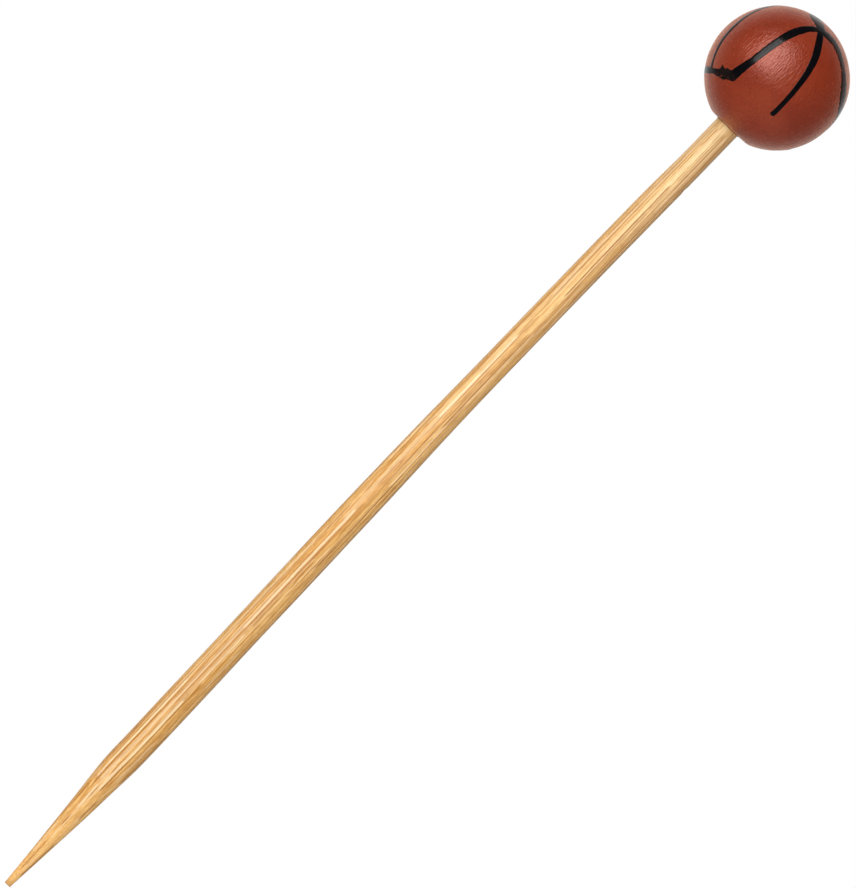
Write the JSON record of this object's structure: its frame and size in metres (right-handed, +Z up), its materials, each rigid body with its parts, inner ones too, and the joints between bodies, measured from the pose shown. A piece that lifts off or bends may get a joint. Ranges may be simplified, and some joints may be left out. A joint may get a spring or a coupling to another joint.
{
  "type": "cocktail pick",
  "caption": "Pointed round bamboo stick glued into a painted wooden ball with brushed seam lines, pushed through food and held by the ball",
  "frame": {"origin": "on the stick's axis, at the middle of the straight shank, where food or a holder grips it", "axes": "+Z runs up the stick from the tip to the ball, as the pick stands in food; -Y faces the viewer of the picture's side of the ball"},
  "size_m": [0.0147, 0.0146, 0.1201],
  "materials": {
    "bamboo": "bare, sanded along the grain",
    "ball_wood": "turned, under paint",
    "glue": "dried wood glue",
    "red_brown_paint": "satin lacquer",
    "black_paint": "satin, brushed on by hand"
  },
  "bodies": {
    "root": {"bamboo_stick": "bamboo", "wooden_ball": "ball_wood", "glue_bond": "glue", "paint_coat": "red_brown_paint", "seam_crown_front": "black_paint", "seam_crown_back": "black_paint", "seam_long_front": "black_paint", "seam_long_back": "black_paint", "seam_band_left": "black_paint", "seam_band_right": "black_paint", "seam_side_left": "black_paint", "seam_side_right": "black_paint", "seam_short_front": "black_paint", "seam_short_back": "black_paint"}
  },
  "joints": []
}
